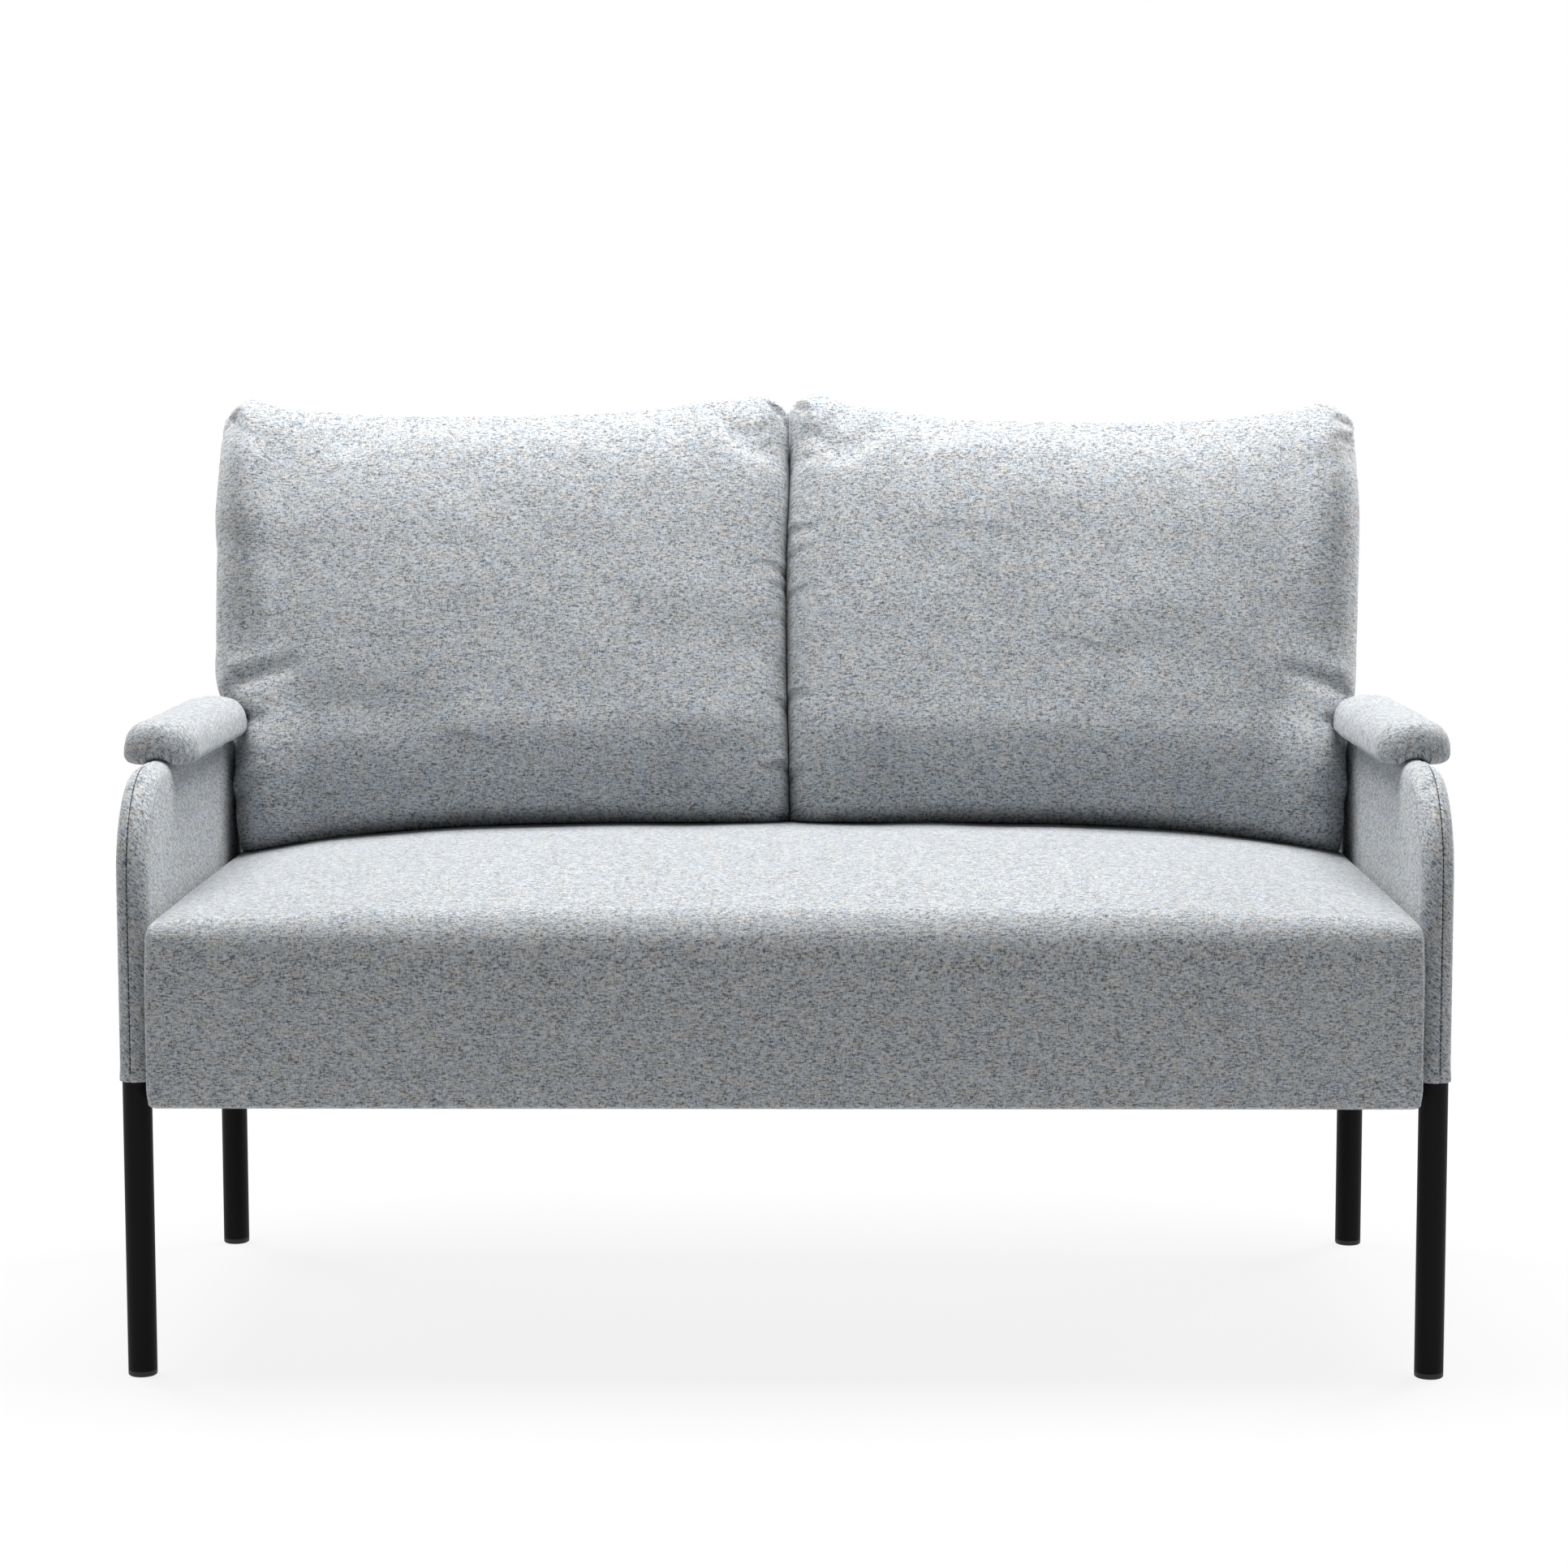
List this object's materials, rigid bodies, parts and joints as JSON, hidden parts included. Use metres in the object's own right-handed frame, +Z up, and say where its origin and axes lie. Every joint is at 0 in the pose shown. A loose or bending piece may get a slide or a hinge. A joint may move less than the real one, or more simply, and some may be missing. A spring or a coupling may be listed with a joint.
{
  "type": "loveseat",
  "caption": "Loveseat with bent steel tube side frames in fabric sleeves, padded arm rests, a crowned upholstered seat and loose back cushions.",
  "frame": {"origin": "on the floor, under the middle of the sofa's overall width and depth", "axes": "+X to the right as seen from the front, +Y from the front to the back, +Z up; the front faces -Y"},
  "size_m": [1.407, 0.8128, 1.0074],
  "materials": {
    "black_steel": "satin black powder coat",
    "zinc_steel": "bright zinc plate",
    "glide_plastic": "black moulded plastic",
    "saddle_plastic": "black moulded plastic",
    "grey_fabric": "light grey melange weave",
    "timber": "planed pine and plywood",
    "foam": "polyurethane foam and fibre",
    "webbing": "elastic webbing",
    "felt": "needled felt",
    "dust_cloth": "black spun-bonded cloth"
  },
  "bodies": {
    "frame_and_seat": {"side_frame_left": "black_steel", "glide_front_left": "glide_plastic", "glide_rear_left": "glide_plastic", "side_cover_left": "grey_fabric", "side_foam_left": "foam", "side_frame_right": "black_steel", "glide_front_right": "glide_plastic", "glide_rear_right": "glide_plastic", "side_cover_right": "grey_fabric", "side_foam_right": "foam", "front_crossbeam": "black_steel", "rear_crossbeam": "black_steel", "saddle_spacers": "saddle_plastic", "leg_inserts": "zinc_steel", "frame_bolts": "zinc_steel", "seat_cover": "grey_fabric", "seat_front_rail": "timber", "seat_rear_rail": "timber", "seat_end_rail_left": "timber", "seat_end_rail_right": "timber", "seat_inner_rails": "timber", "seat_corner_blocks": "timber", "seat_webbing": "webbing", "seat_felt": "felt", "seat_foam": "foam", "seat_dust_sheet": "dust_cloth", "seat_screws": "zinc_steel", "back_cover": "grey_fabric", "back_foam": "foam", "back_stile_left": "timber", "back_stile_right": "timber", "back_top_rail": "timber", "back_middle_rail": "timber", "back_bottom_rail": "timber", "back_webbing": "webbing", "back_upright_left": "black_steel", "back_upright_right": "black_steel", "upright_screws": "zinc_steel", "upright_bolts": "zinc_steel", "upright_nuts": "zinc_steel", "arm_pad_cover_left": "grey_fabric", "arm_pad_foam_left": "foam", "arm_pad_board_left": "timber", "arm_pad_cover_right": "grey_fabric", "arm_pad_foam_right": "foam", "arm_pad_board_right": "timber", "arm_pad_screws": "zinc_steel"},
    "cushion_left": {"cushion_cover_left": "grey_fabric", "cushion_filling_left": "foam"},
    "cushion_right": {"cushion_cover_right": "grey_fabric", "cushion_filling_right": "foam"}
  },
  "joints": [
    {"name": "cushion_left_lift", "type": "slide", "parent": "frame_and_seat", "child": "cushion_left", "axis": [0, 0.2504, 0.9681], "range_m": [0, 0.5]},
    {"name": "cushion_right_lift", "type": "slide", "parent": "frame_and_seat", "child": "cushion_right", "axis": [0, 0.2504, 0.9681], "range_m": [0, 0.5]}
  ]
}
